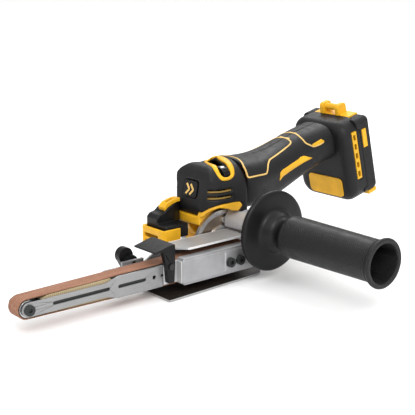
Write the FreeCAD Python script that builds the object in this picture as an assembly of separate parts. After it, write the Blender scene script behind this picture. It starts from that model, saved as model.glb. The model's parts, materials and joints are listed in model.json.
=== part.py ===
import FreeCAD, Part
import math
import os

# Handheld belt sander (cordless band file), in millimetres.
# X points to the nose of the arm, Y to the side handle, Z up. Everything is drawn round the drive axis, which
# runs along Y through the belt's middle plane, and is moved at the end so that the origin is the base centre.

# ---- driving dimensions -------------------------------------------------------------------------------------
BELT_WIDTH = 13.0
BELT_LENGTH = 457.0
BELT_THICKNESS = 1.0
DRIVE_RADIUS = 10.0          # inside of the belt at the drive pulley
IDLER_RADIUS = 6.8           # inside of the belt at the idler roller
GAP = 0.3                    # air between pieces that move past each other
RUNNING = 0.05               # radial clearance of a shaft in its bearing
WALL = 2.5                   # plastic shells
SHEET = 1.5                  # folded guard

BODY_Y = -30.0               # middle plane of motor, handle and battery foot
HEAD_HALF_WIDTH = 27.0
HEAD_FRONT = 27.0
HEAD_SEAM = -15.0            # head cover in front of this, handle shells behind
HEAD_BOTTOM = 31.0
HEAD_TOP = 73.5
HEAD_CORNER = 18.0           # upright corners of the head
HEAD_CROWN = 25.0            # its rounded top, seen from the front
SKIRT_BOTTOM = 24.0          # gear case edge seen under the head cover

MOTOR_FRONT = -23.0
MOTOR_REAR = -50.0
STATOR_RADIUS = 15.0
ROTOR_RADIUS = 9.5
MOTOR_ENDS = ((-17.2, -14.2), (-57.0, -54.0))    # bearing spiders in front of and behind the motor
SPIDER_RADIUS = 13.0

MODULE = 1.0
CROSS_TEETH = 17
IDLER_TEETH = 29
OUTPUT_TEETH = 27
PINION_TEETH = 10
BEVEL_TEETH = 20
GEAR_Y = (-45.5, -40.5)      # plane of the spur gears
TRAIN_LEAN = math.radians(9.0)   # the line of gears leans forward

COLLAR_CENTRE = (3.0, 6.0)   # silver plate behind the guard
COLLAR_RADIUS = 27.5
SKIRT_GAP_RADIUS = 28.8      # gear case cut round the collar plate
HANDLE_GAP_RADIUS = 36.5     # handle shells cut round it
# The near sides of head cover and gear case arch over the plate; their edges run from rear to front as (x, z).
COVER_EDGE = [(-16.0, 27.0), (-4.1, 32.8), (-9.6, 38.3), (-6.8, 41.3), (0.0, 41.9), (12.0, 41.8), (17.5, 40.7),
              (21.6, 38.9), (24.5, 35.9), (26.4, 32.5), (27.5, 31.0)]
SKIRT_EDGE = [(-16.0, 27.0), (-4.1, 32.8), (0.0, 34.2), (6.2, 37.2), (14.4, 39.1), (20.1, 37.3), (23.4, 34.2),
              (26.0, 29.5), (27.5, 24.0)]

GUARD_Y = (-13.5, 10.5)
GUARD_TOP = 17.5
GUARD_BOTTOM = -17.5
GUARD_LIP_Y = (15.0, 21.0)   # near edge of the bottom plate at its rear and at its front
GUARD_REST = (-19.0, 86.5)   # bottom plate from rear to front
GUARD_FRONT = 86.5
TOP_FRONT = 66.0             # front end of the guard's top flange

ARM_HALF_HEIGHT = 5.3
SHOULDER_HALF_HEIGHT = 8.5
PLATE_Y = (8.0, 9.5)
CORE_HALF_WIDTH = 6.0
SLEEVE_X = (10.4, 73.0)
ARM_TRAVEL = 4.4
LEVER_PIVOT = (80.5, 8.0)

HANDLE_AXIS = (-12.0, 22.7)
HANDLE_FLANGE_Y = 28.0
HANDLE_FLANGE_RADIUS = 33.0
HANDLE_END_Y = 146.5
STUD_RADIUS = 5.0

FOOT_TILT = math.radians(14.0)
FOOT_FACE = (-129.0, 54.5)   # middle of the foot's front face
FOOT_HALF_WIDTH = 33.0
FOOT_HALF_HEIGHT = 38.0
FOOT_DEPTH = 21.5
CHEEK = (17.8, 36.0)         # depth of the rear cheeks behind the front face
LABEL = ((-18.0, 23.0), (-32.0, -14.0))    # plain plate on the front face, sideways and up

VENT_X = (2.0, 23.0)         # cooling slots on both sides of the head
VENT_TOPS = (54.0, 48.6)
VENT_HEIGHT = 2.4

DIAL_CENTRE = (3.0, -17.5, 60.5)
DIAL_RADIUS = 9.8
DIAL_HALF_WIDTH = 3.4
EMBLEM_HALF = (8.2, 6.6)     # plate in the front of the head, sideways and up
EMBLEM_Z = 52.4
TRACKING_AXIS = (97.0, 8.0)
TRIGGER_PIVOT = (-103.0, 52.5)


def belt_centre_distance():
    """Distance between the two axes that uses the belt's whole length, measured on its middle line."""
    big = DRIVE_RADIUS + BELT_THICKNESS / 2
    small = IDLER_RADIUS + BELT_THICKNESS / 2
    straight = (BELT_LENGTH - math.pi * (big + small)) / 2
    return straight - (big - small) ** 2 / (2 * straight)


ARM_LENGTH = belt_centre_distance()


# ---- small building blocks ----------------------------------------------------------------------------------
def vec(x, y, z):
    return FreeCAD.Vector(x, y, z)


def box(x, y, z):
    """Box from three (low, high) pairs."""
    return Part.makeBox(x[1] - x[0], y[1] - y[0], z[1] - z[0], vec(x[0], y[0], z[0]))


def cyl_x(y, z, radius, x):
    return Part.makeCylinder(radius, x[1] - x[0], vec(x[0], y, z), vec(1, 0, 0))


def cyl_y(x, z, radius, y):
    return Part.makeCylinder(radius, y[1] - y[0], vec(x, y[0], z), vec(0, 1, 0))


def ring_x(y, z, outer, inner, x):
    return cyl_x(y, z, outer, x).cut(cyl_x(y, z, inner, x))


def ring_y(x, z, outer, inner, y):
    return cyl_y(x, z, outer, y).cut(cyl_y(x, z, inner, y))


def side_plate(points, y):
    """Flat outline of (x, z) points, as thick as the y pair."""
    corners = [vec(px, y[0], pz) for px, pz in points]
    face = Part.Face(Part.makePolygon(corners + [corners[0]]))
    return face.extrude(vec(0, y[1] - y[0], 0))


def front_plate(points, x):
    """Flat outline of (y, z) points, as thick as the x pair."""
    corners = [vec(x[0], py, pz) for py, pz in points]
    face = Part.Face(Part.makePolygon(corners + [corners[0]]))
    return face.extrude(vec(x[1] - x[0], 0, 0))


def flat_plate(points, z):
    """Flat outline of (x, y) points, as thick as the z pair."""
    corners = [vec(px, py, z[0]) for px, py in points]
    face = Part.Face(Part.makePolygon(corners + [corners[0]]))
    return face.extrude(vec(0, 0, z[1] - z[0]))


def slot_y(x, z, radius, y):
    """Straight slot along X with round ends."""
    middle = box(x, y, (z - radius, z + radius))
    return middle.fuse([cyl_y(x[0], z, radius, y), cyl_y(x[1], z, radius, y)])


def join(pieces):
    return pieces[0].fuse(pieces[1:]).removeSplitter()


def turned_y(profile, x, z):
    """Solid of revolution about the Y line through (x, z), from (y, radius) points."""
    corners = [vec(x + radius, py, z) for py, radius in profile]
    face = Part.Face(Part.makePolygon(corners + [corners[0]]))
    return face.revolve(vec(x, 0, z), vec(0, 1, 0), 360)


def rounded(shape, radius, wanted):
    """Round the edges whose middle point and direction pass the test."""
    chosen = []
    for edge in shape.Edges:
        middle = edge.valueAt((edge.FirstParameter + edge.LastParameter) / 2)
        if wanted(middle, edge.tangentAt(edge.FirstParameter)):
            chosen.append(edge)
    return shape.makeFillet(radius, chosen)


# ---- gears --------------------------------------------------------------------------------------------------
# One tooth as (share of the pitch, height in modules) corners: the spur gears' and the slimmer bevel gears'.
SPUR_TOOTH = ((-0.34, -1.15), (-0.14, 0.85), (0.14, 0.85), (0.34, -1.15))
BEVEL_TOOTH = ((-0.27, -1.15), (-0.11, 0.6), (0.11, 0.6), (0.27, -1.15))


def gear_outline(teeth, module, phase, tooth_shape, scale=1.0):
    """Closed list of (u, v) points of a gear with straight-sided teeth, one tooth centred at phase."""
    pitch = module * teeth / 2
    pitch_angle = 2 * math.pi / teeth
    outline = []
    for tooth in range(teeth):
        middle = phase + tooth * pitch_angle
        for share, radius in tooth_shape:
            angle = middle + share * pitch_angle
            reach = scale * (pitch + radius * module)
            outline.append((reach * math.cos(angle), reach * math.sin(angle)))
    return outline


def spur_gear(centre, teeth, phase, y, bore):
    points = [(centre[0] + u, centre[1] + v) for u, v in gear_outline(teeth, MODULE, phase, SPUR_TOOTH)]
    return side_plate(points, y).cut(cyl_y(centre[0], centre[1], bore, y))


def mesh_phase(teeth, phase, next_teeth, line_angle):
    """Phase of the next gear, so that its gap meets this gear's tooth on the line between their centres."""
    turned = teeth * (line_angle - phase)
    return line_angle + math.pi - (math.pi - turned) / next_teeth


def spur_centres():
    """Cross gear, idler gear and output gear on one straight line."""
    centres = []
    to_idler = MODULE * (OUTPUT_TEETH + IDLER_TEETH) / 2
    to_cross = to_idler + MODULE * (IDLER_TEETH + CROSS_TEETH) / 2
    for reach in (to_cross, to_idler, 0.0):
        centres.append((reach * math.sin(TRAIN_LEAN), reach * math.cos(TRAIN_LEAN)))
    return centres


CROSS, IDLER, OUTPUT = spur_centres()
MOTOR_Z = CROSS[1]
DOWN = -math.pi / 2 - TRAIN_LEAN
CROSS_PHASE = DOWN
IDLER_PHASE = mesh_phase(CROSS_TEETH, CROSS_PHASE, IDLER_TEETH, DOWN)
OUTPUT_PHASE = mesh_phase(IDLER_TEETH, IDLER_PHASE, OUTPUT_TEETH, DOWN)
BEVEL_FACE = 4.0
BEVEL_REACH = math.hypot(PINION_TEETH, BEVEL_TEETH) * MODULE / 2


def bevel_solid(teeth, apex, start, phase, place):
    """Bevel gear: its outline at the big end, shrunk towards the apex over the face width."""
    small = 1 - BEVEL_FACE / BEVEL_REACH
    wires = []
    for scale in (1.0, small):
        outline = gear_outline(teeth, MODULE, phase, BEVEL_TOOTH, scale)
        points = [place(apex, start * scale, u, v) for u, v in outline]
        wires.append(Part.makePolygon(points + [points[0]]))
    return Part.makeLoft(wires, True, True)


def across_x(apex, distance, u, v):
    return vec(apex[0] - distance, apex[1] + u, apex[2] + v)


def across_y(apex, distance, u, v):
    return vec(apex[0] + u, apex[1] - distance, apex[2] + v)


BEVEL_APEX = (CROSS[0], BODY_Y, CROSS[1])


def bevel_pinion():
    distance = MODULE * BEVEL_TEETH / 2
    solid = bevel_solid(PINION_TEETH, BEVEL_APEX, distance, 0.0, across_x)
    return solid.cut(cyl_x(BODY_Y, MOTOR_Z, 2.5, (CROSS[0] - distance - 1, CROSS[0])))


def bevel_gear():
    distance = MODULE * PINION_TEETH / 2
    gap_phase = math.pi + math.pi / BEVEL_TEETH
    solid = bevel_solid(BEVEL_TEETH, BEVEL_APEX, distance, gap_phase, across_y)
    hub = cyl_y(CROSS[0], CROSS[1], 6.0, (BODY_Y - distance - 2, BODY_Y - distance + 0.01))
    bore = cyl_y(CROSS[0], CROSS[1], 3.0, (BODY_Y - distance - 3, BODY_Y))
    return join([solid, hub]).cut(bore)


# ---- head and gear case -------------------------------------------------------------------------------------
def head_solid(inset, rear=HEAD_SEAM, chin=3.0):
    """Outside of the head, drawn inset by a wall: side view, plan view and front view intersected.

    The chin is how far the lower end of the front is set back. A shallow saddle for the dial crosses the top."""
    front = HEAD_FRONT - inset
    top = HEAD_TOP - inset
    half = HEAD_HALF_WIDTH - inset
    low = 0.0
    side = side_plate([(rear, low), (front - chin, low), (front - chin, 30.0), (front, 38.5), (front - 5.0, 62.5),
                       (front - 7.5, top - 6.0), (front - 11.0, top - 3.2), (front - 14.5, top - 2.2),
                       (front - 19.0, top - 2.6), (front - 25.0, top - 3.8), (front - 31.0, top - 2.6),
                       (front - 37.0, top - 0.6), (rear, top)], (BODY_Y - half, BODY_Y + half))
    plan = box((rear - 20, front), (BODY_Y - half, BODY_Y + half), (low, top))
    plan = rounded(plan, HEAD_CORNER, lambda p, t: abs(t.z) > 0.9 and p.x > 0)
    face = box((rear - 30, front + 5), (BODY_Y - half, BODY_Y + half), (low, top))
    face = rounded(face, HEAD_CROWN - inset, lambda p, t: abs(t.x) > 0.9 and p.z > top - 1)
    return side.common(plan).common(face)


def below_edge(edge, y):
    """Everything on the near side below one of the arched edges."""
    rear = edge[0][0]
    front = edge[-1][0]
    return side_plate(edge + [(front, -10.0), (rear, -10.0)], y)


def arm_room():
    """Room for the arm on the near side of the head: a round one for the collar plate, an arched one nearer."""
    plate_room = cyl_y(COLLAR_CENTRE[0], COLLAR_CENTRE[1], SKIRT_GAP_RADIUS, (-19.0, 10.0))
    return plate_room.fuse(below_edge(SKIRT_EDGE, (-16.5, 10.0)))


def under_cover():
    """Everything below the head cover's edge."""
    low = box((-60, 60), (-80, 20), (-5, HEAD_BOTTOM))
    return low.fuse([below_edge(COVER_EDGE, (-19.0, 10.0)), arm_room()])


def head_cover():
    shell = head_solid(0).cut(head_solid(WALL, HEAD_SEAM - 1))
    shell = shell.cut(under_cover())
    shell = shell.cut(dial_window()).cut(dial_room())
    for top in VENT_TOPS:
        vent = box(VENT_X, (BODY_Y + 12, BODY_Y + 40), (top - VENT_HEIGHT, top))
        shell = shell.cut(vent)
        shell = shell.cut(vent.mirror(vec(0, BODY_Y, 0), vec(0, 1, 0)))
    return shell.cut(emblem_block(GAP))


def gear_train_room(extra, y):
    """Round rooms of the three spur gears, run together."""
    rooms = []
    for centre, teeth in ((CROSS, CROSS_TEETH), (IDLER, IDLER_TEETH), (OUTPUT, OUTPUT_TEETH)):
        rooms.append(cyl_y(centre[0], centre[1], MODULE * (teeth / 2 + 1) + extra, y))
    return join(rooms)


def gear_case():
    skirt = head_solid(0.4, chin=0.0).common(under_cover())
    skirt = skirt.cut(box((-60, 60), (-80, 20), (-5, SKIRT_BOTTOM)))
    shelf = head_solid(WALL + 0.4).common(box((HEAD_SEAM, 60), (-80, 20), (SKIRT_BOTTOM, HEAD_BOTTOM + 1.8)))
    train = gear_train_room(3.0, (-47.0, -36.0))
    neck = cyl_y(0, 0, 17.0, (-37.0, -19.0))
    case = join([skirt, shelf, train, neck])
    case = case.cut(gear_train_room(3.0 + GAP, (-60.0, -47.0)))
    case = case.cut(arm_room())
    case = case.cut(gear_train_room(0.6, (-47.0, GEAR_Y[1] + 0.5)))
    case = case.cut(cyl_y(0, 0, 9.5, (-26.0, -19.0)))
    case = case.cut(cyl_y(0, 0, 6.2, (-40.0, -19.0)))
    case = case.cut(cyl_y(CROSS[0], CROSS[1], 6.0, (-41.0, -36.0)))
    case = case.cut(cyl_y(CROSS[0], CROSS[1], 13.0, (-37.1, -30.0)))
    case = case.cut(cyl_y(IDLER[0], IDLER[1], 3.0, (-40.0, -36.6)))
    return case.cut(head_cover())


def gear_case_cover():
    plate = gear_train_room(3.0, (-52.0, -47.0))
    plate = plate.cut(cyl_y(0, 0, 8.0, (-50.0, -47.0)))
    plate = plate.cut(cyl_y(CROSS[0], CROSS[1], 5.0, (-50.0, -47.0)))
    plate = plate.cut(cyl_y(IDLER[0], IDLER[1], 3.0, (-50.0, -47.0)))
    return plate.cut(head_cover())


def case_screws():
    """Screws of the gear case cover and of the collar plate."""
    screws = collar_screws()
    spots = []
    for centre, teeth, turns in ((OUTPUT, OUTPUT_TEETH, (200, 270, 340)), (CROSS, CROSS_TEETH, (172, 205))):
        reach = MODULE * (teeth / 2 + 1) + 1.2
        for turn in turns:
            angle = math.radians(turn)
            spots.append((centre[0] + reach * math.cos(angle), centre[1] + reach * math.sin(angle)))
    for x, z in spots:
        screws.append(cyl_y(x, z, 1.7, (-53.5, -52.0)).cut(cyl_y(x, z, 0.9, (-54.0, -52.7))))
    return Part.makeCompound(screws)


def collar_plate():
    x, z = COLLAR_CENTRE
    dish = turned_y([(-19.0, 0.0), (-19.0, COLLAR_RADIUS), (-15.5, COLLAR_RADIUS), (-15.5, 24.5),
                     (-17.0, 23.5), (-17.0, 14.5), (-15.5, 13.5), (-15.5, 0.0)], x, z)
    spigot = cyl_y(0, 0, 10.0, (-17.0, -11.5))
    plate = join([dish, spigot]).cut(cyl_y(0, 0, 6.2, (-19.0, -11.0)))
    return plate.cut(box((-60, 60), (-30, 0), (-40, GUARD_BOTTOM)))


def collar_screws():
    """Button screws in the collar plate's recess."""
    screws = []
    for turn in (100, 220, 340):
        angle = math.radians(turn)
        x = COLLAR_CENTRE[0] + 19 * math.cos(angle)
        z = COLLAR_CENTRE[1] + 19 * math.sin(angle)
        screws.append(cyl_y(x, z, 2.6, (-17.0, -15.6)).cut(cyl_y(x, z, 1.3, (-16.4, -15.0))))
    return screws


def handle_boss():
    x, z = HANDLE_AXIS
    lug = turned_y([(-15.4, 0.0), (-15.4, 12.5), (2.0, 10.8), (24.5, 10.5), (26.0, 9.2), (26.0, 0.0)], x, z)
    lug = lug.cut(cyl_y(0, 0, GUARD_TOP + 1.2, (-16.0, 27.0)))
    room = head_solid(-0.3, HEAD_SEAM - 40, chin=0.0).cut(arm_room())
    lug = lug.cut(room.common(box((-80, 60), (-80, 10), (SKIRT_BOTTOM, 90))))
    return lug.cut(cyl_y(x, z, STUD_RADIUS + RUNNING, (2.0, 27.0)))


def dial_window():
    """Opening over the dial: it runs from the top down the near shoulder, leaning forward."""
    outline = [(-9.0, -39.5), (-4.0, -24.0), (-0.7, -12.0), (-0.7, 3.0), (9.0, 3.0), (9.0, -9.0), (5.5, -22.0),
               (-1.0, -39.5)]
    return flat_plate(outline, (64.0, 95.0))


def dial_room():
    """Air round the wheel where it passes the wall."""
    x, y, z = DIAL_CENTRE
    reach = DIAL_HALF_WIDTH + GAP
    return cyl_x(y, z, DIAL_RADIUS + GAP, (x - reach, x + reach))


def dial_bezel():
    """Raised frame round the dial's window, following the head's shoulder and pointed at its lower end."""
    skin = head_solid(-1.2, HEAD_SEAM + 0.2).cut(head_solid(0.0, HEAD_SEAM - 1))
    outline = [(-14.5, -42.0), (-11.0, -25.0), (-6.5, -10.0), (-6.5, 3.0), (14.5, 3.0), (13.0, -6.0), (7.5, -22.0),
               (0.5, -42.0)]
    lower_edge = [(-16.0, 95.0), (-16.0, 69.0), (-6.5, 68.5), (-4.0, 65.5), (2.0, 62.5), (10.0, 61.0), (15.0, 61.0),
                  (15.0, 95.0)]
    frame = skin.common(flat_plate(outline, (55.0, 95.0))).common(side_plate(lower_edge, (-60.0, 10.0)))
    return frame.cut(dial_window()).cut(dial_room()).cut(head_cover())


def speed_dial():
    x, y, z = DIAL_CENTRE
    wheel = cyl_x(y, z, DIAL_RADIUS, (x - DIAL_HALF_WIDTH, x + DIAL_HALF_WIDTH))
    grooves = []
    for step in range(20):
        angle = 2 * math.pi * step / 20
        grooves.append(cyl_x(y + DIAL_RADIUS * math.cos(angle), z + DIAL_RADIUS * math.sin(angle), 0.7,
                             (x - DIAL_HALF_WIDTH, x + DIAL_HALF_WIDTH - 1.0)))
    wheel = wheel.cut(Part.makeCompound(grooves))
    return join([wheel, cyl_x(y, z, 2.0, (x - DIAL_HALF_WIDTH - 1.5, x + DIAL_HALF_WIDTH + 1.5))])


def emblem_block(margin):
    """Bar with round corners that reaches through the front of the head."""
    wide = EMBLEM_HALF[0] + margin
    tall = EMBLEM_HALF[1] + margin
    block = box((HEAD_FRONT - 9, HEAD_FRONT + 5), (BODY_Y - wide, BODY_Y + wide), (EMBLEM_Z - tall, EMBLEM_Z + tall))
    return rounded(block, 2.5, lambda p, t: abs(t.x) > 0.9)


def nose_plate():
    """Plain plate let into the front of the head."""
    skin = head_solid(-0.4).cut(head_solid(WALL, HEAD_SEAM - 1))
    return emblem_block(0.0).common(skin)


DUCT_BACK = 18.0             # behind the nose's round corner, cut to follow it
DUCT_FRONT = 54.5
DUCT_Y = (-50.0, -36.0)      # the tall far part
LEDGE_Y = (-36.01, -24.0)    # the low near part
MOUTH = ((39.0, 52.0), (-47.5, -27.0))


def dust_duct():
    """Suction duct in front of the gear case: a tall hood, a low ribbed ledge beside it, open downwards."""
    hood = side_plate([(DUCT_BACK, 17.0), (DUCT_BACK, 41.0), (32.0, 41.2), (37.5, 40.0), (42.5, 37.6), (47.0, 34.2),
                       (52.0, 33.2), (DUCT_FRONT, 30.5), (DUCT_FRONT, 17.0)], DUCT_Y)
    plan = flat_plate([(DUCT_BACK, DUCT_Y[0]), (DUCT_BACK, -46.0), (36.0, DUCT_Y[1]), (DUCT_FRONT, DUCT_Y[1]),
                       (DUCT_FRONT, DUCT_Y[0])], (17.0, 42.0))
    hood = hood.common(plan)
    ledge = box((31.0, DUCT_FRONT), LEDGE_Y, (15.0, 26.0))
    ledge = rounded(ledge, 2.0, lambda p, t: p.y > LEDGE_Y[1] - 0.1 and p.z > 20)
    duct = join([hood, ledge])
    for step in range(4):
        x = 36.0 + 4.5 * step
        duct = duct.cut(box((x, x + 1.4), (-34.5, -25.5), (25.2, 27.0)))
    duct = duct.cut(head_solid(-GAP, chin=0.0))
    return duct.cut(box(MOUTH[0], MOUTH[1], (10.0, 22.5)))


def collar_band():
    """Collar pushed over the duct's mouth, with a barred window in its front."""
    outer = box((41.0, 59.5), (-52.5, -22.0), (4.0, 23.5))
    outer = rounded(outer, 4.5, lambda p, t: abs(t.z) > 0.9 and p.x > 50)
    inner = box((40.0, 57.0), (-50.2, -23.8), (3.0, 24.0))
    window = box((55.0, 61.0), (-47.0, -29.0), (9.0, 18.5))
    bar = box((57.0, 58.5), (-47.5, -28.5), (12.5, 14.8))
    return join([outer.cut(inner).cut(window), bar])


def duct_latch():
    """Slotted tongue on the hood that holds the duct to the head."""
    tongue = side_plate([(29.5, 41.3), (29.5, 44.5), (36.0, 44.0), (43.0, 42.0), (46.5, 38.5), (45.5, 35.4),
                         (42.5, 37.7), (37.5, 40.1), (32.0, 41.3)], (-45.0, -37.0))
    return tongue.cut(box((33.5, 42.0), (-42.5, -39.5), (30.0, 50.0)))


def duct_collar():
    """Both yellow pieces of the duct."""
    return Part.makeCompound([collar_band(), duct_latch()])


# ---- motor and shafts ---------------------------------------------------------------------------------------
def stator():
    """Laminated ring with its two winding ends."""
    ring = ring_x(BODY_Y, MOTOR_Z, STATOR_RADIUS, ROTOR_RADIUS + GAP, (MOTOR_REAR + 4, MOTOR_FRONT - 4))
    slots = []
    for step in range(6):
        angle = math.pi * step / 3
        slots.append(cyl_x(BODY_Y + 12.0 * math.cos(angle), MOTOR_Z + 12.0 * math.sin(angle), 1.5,
                           (MOTOR_REAR, MOTOR_FRONT)))
    solids = [ring.cut(Part.makeCompound(slots))]
    for x in ((MOTOR_REAR, MOTOR_REAR + 4), (MOTOR_FRONT - 4, MOTOR_FRONT)):
        solids.append(ring_x(BODY_Y, MOTOR_Z, STATOR_RADIUS - 1.5, ROTOR_RADIUS + 1.0, x))
    return Part.makeCompound(solids)


def rotor():
    return ring_x(BODY_Y, MOTOR_Z, ROTOR_RADIUS, 2.5, (MOTOR_REAR + 4, MOTOR_FRONT - 4))


def motor_shaft():
    return cyl_x(BODY_Y, MOTOR_Z, 2.5, (MOTOR_REAR - 9, CROSS[0] - 6.2))


def cooling_fan():
    hub = ring_x(BODY_Y, MOTOR_Z, 6.0, 2.5, (-21.4, -18.4))
    blades = []
    for step in range(11):
        blade = box((-21.4, -18.4), (BODY_Y + 5.5, BODY_Y + 15.5), (MOTOR_Z - 0.6, MOTOR_Z + 0.6))
        blade.rotate(vec(0, BODY_Y, MOTOR_Z), vec(1, 0, 0), 360 * step / 11)
        blades.append(blade)
    return join([hub] + blades)


def motor_frame():
    """Front and rear spiders that carry the motor bearings inside the shells."""
    frames = []
    for x in MOTOR_ENDS:
        plate = ring_x(BODY_Y, MOTOR_Z, SPIDER_RADIUS, 5.5, x)
        for step in range(4):
            angle = math.pi * (0.25 + step / 2)
            window = cyl_x(BODY_Y + 9.3 * math.cos(angle), MOTOR_Z + 9.3 * math.sin(angle), 2.6, x)
            plate = plate.cut(window)
        frames.append(plate)
    return Part.makeCompound(frames)


def cross_shaft():
    return cyl_y(CROSS[0], CROSS[1], 3.0, (-49.5, -33.4))


def cross_gear():
    return spur_gear(CROSS, CROSS_TEETH, CROSS_PHASE, GEAR_Y, 3.0)


def idler_gear():
    return spur_gear(IDLER, IDLER_TEETH, IDLER_PHASE, GEAR_Y, 3.0 + RUNNING)


def idler_pin():
    return cyl_y(IDLER[0], IDLER[1], 3.0, (-50.0, -36.6))


def output_gear():
    return spur_gear(OUTPUT, OUTPUT_TEETH, OUTPUT_PHASE, GEAR_Y, STUD_RADIUS)


def output_shaft():
    return cyl_y(0, 0, 5.0, (-49.8, 7.8)).cut(cyl_y(0, 0, 1.6, (2.0, 8.0)))


def shaft_bearings():
    """Two motor bearings, two on the cross shaft and two on the output shaft."""
    rings = []
    for x in MOTOR_ENDS:
        rings.append(ring_x(BODY_Y, MOTOR_Z, 5.5, 2.5 + RUNNING, x))
    for outer, y in ((5.0, (-50.0, -47.5)), (6.0, (-40.0, -37.2))):
        rings.append(ring_y(CROSS[0], CROSS[1], outer, 3.0 + RUNNING, y))
    for outer, y in ((8.0, (-50.0, -47.2)), (9.5, (-26.0, -20.0))):
        rings.append(ring_y(0, 0, outer, 5.0 + RUNNING, y))
    return Part.makeCompound(rings)


def drive_pulley():
    rim = DRIVE_RADIUS - GAP
    profile = [(-7.0, 5.0), (-7.0, rim - 0.5), (-4.0, rim), (4.0, rim), (7.0, rim - 0.5), (7.0, 5.0)]
    return turned_y(profile, 0, 0)


# ---- arm ----------------------------------------------------------------------------------------------------
def belt_outline(offset):
    """Belt line at this distance outside the two rollers: two half rounds and two straight runs."""
    big = DRIVE_RADIUS + offset
    small = IDLER_RADIUS + offset
    lean = math.asin((big - small) / ARM_LENGTH)
    rise = math.pi / 2 - lean
    points = {}
    for name, centre, radius in (("drive", 0.0, big), ("idler", ARM_LENGTH, small)):
        for side, sign in (("top", 1), ("bottom", -1)):
            points[name, side] = vec(centre + radius * math.cos(rise), 0, sign * radius * math.sin(rise))
    top = Part.LineSegment(points["drive", "top"], points["idler", "top"])
    nose = Part.Arc(points["idler", "top"], vec(ARM_LENGTH + small, 0, 0), points["idler", "bottom"])
    bottom = Part.LineSegment(points["idler", "bottom"], points["drive", "bottom"])
    tail = Part.Arc(points["drive", "bottom"], vec(-big, 0, 0), points["drive", "top"])
    return Part.Wire([piece.toShape() for piece in (top, nose, bottom, tail)])


def belt_solid(offset, y):
    face = Part.Face(belt_outline(offset))
    face.translate(vec(0, y[0], 0))
    return face.extrude(vec(0, y[1] - y[0], 0))


def sanding_belt():
    half = BELT_WIDTH / 2
    return belt_solid(BELT_THICKNESS, (-half, half)).cut(belt_solid(0, (-half - 1, half + 1)))


def belt_inside(x):
    """Height of the belt's inner face above the arm's middle, at this distance from the drive axis."""
    return DRIVE_RADIUS - (DRIVE_RADIUS - IDLER_RADIUS) * x / ARM_LENGTH


def arm_plate(y):
    rear_x = 77.6
    widen = (125.0, 136.0)
    outline = [(rear_x, -3.6), (rear_x + 7, -SHOULDER_HALF_HEIGHT), (widen[0], -SHOULDER_HALF_HEIGHT),
               (widen[1], -ARM_HALF_HEIGHT), (ARM_LENGTH, -ARM_HALF_HEIGHT), (ARM_LENGTH, ARM_HALF_HEIGHT),
               (widen[1], ARM_HALF_HEIGHT), (widen[0], SHOULDER_HALF_HEIGHT),
               (rear_x + 7, SHOULDER_HALF_HEIGHT), (rear_x, 6.1)]
    plate = join([side_plate(outline, y), cyl_y(ARM_LENGTH, 0, ARM_HALF_HEIGHT, y)])
    plate = plate.cut(slot_y((134.0, 180.0), 0.5, 1.3, y))
    plate = plate.cut(slot_y((101.0, 124.0), 0.5, 1.3, y))
    plate = plate.cut(slot_y((82.0, 85.0), 0.5, 1.0, y))
    plate = plate.cut(cyl_y(92.0, 0.5, 1.6, y))
    return plate.cut(cyl_y(ARM_LENGTH, 0, 2.5, y))


def arm_plate_left():
    return arm_plate(PLATE_Y)


def arm_plate_right():
    return arm_plate((-PLATE_Y[1], -PLATE_Y[0]))


def arm_core():
    tongue = box((52.0, 132.0), (-CORE_HALF_WIDTH, CORE_HALF_WIDTH), (-4.0, 4.0))
    web = box((78.0, 186.0), (-PLATE_Y[0], PLATE_Y[0]), (-3.4, 3.4))
    core = join([tongue, web])
    return core.cut(cyl_y(92.0, 0.5, 1.6, (-10, 10)))


def backing_pad(side):
    """Sprung skid between the core and one run of the belt, its two ends bent inwards."""
    lift = ARM_TRAVEL + GAP
    outer = []
    for x, drop in ((126.0, 3.0), (131.0, 0.0), (184.0, 0.0), (188.5, 2.2)):
        outer.append((x, side * (belt_inside(x + lift) - GAP - drop)))
    inner = [(188.5, side * 4.05), (126.0, side * 4.05)]
    return side_plate(outer + inner, (-6.5, 6.5))


def upper_pad():
    return backing_pad(1)


def lower_pad():
    return backing_pad(-1)


def idler_roller():
    rim = IDLER_RADIUS - GAP
    profile = [(-7.0, 2.5 + RUNNING), (-7.0, rim - 0.4), (-3.5, rim), (3.5, rim), (7.0, rim - 0.4),
               (7.0, 2.5 + RUNNING)]
    return turned_y(profile, ARM_LENGTH, 0)


def idler_axle():
    screw = join([cyl_y(ARM_LENGTH, 0, 2.5, (-11.0, 9.6)), cyl_y(ARM_LENGTH, 0, 4.0, (9.5, 11.4)),
                  cyl_y(ARM_LENGTH, 0, 4.0, (-12.4, -9.5))])
    return screw.cut(cyl_y(ARM_LENGTH, 0, 1.6, (10.2, 12.0)))


def arm_sleeve():
    """Square tube bolted into the guard; the arm's core slides in its open end."""
    tube = box(SLEEVE_X, (-7.5, 7.5), (-6.0, 6.0))
    tube = tube.cut(box((30.0, 80.0), (-CORE_HALF_WIDTH - GAP, CORE_HALF_WIDTH + GAP), (-4 - GAP, 4 + GAP)))
    spacer = box((18.0, 62.0), (-12.0, -7.5), (-5.0, 5.0))
    sleeve = join([tube, spacer])
    for x in (12.6, 22.7):
        sleeve = sleeve.cut(cyl_y(x, 0.5, 1.9, (2.0, 8.0)))
    return sleeve


def tension_spring():
    return ring_x(0, 0, 3.6, 2.6, (30.0, 47.0))


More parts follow.
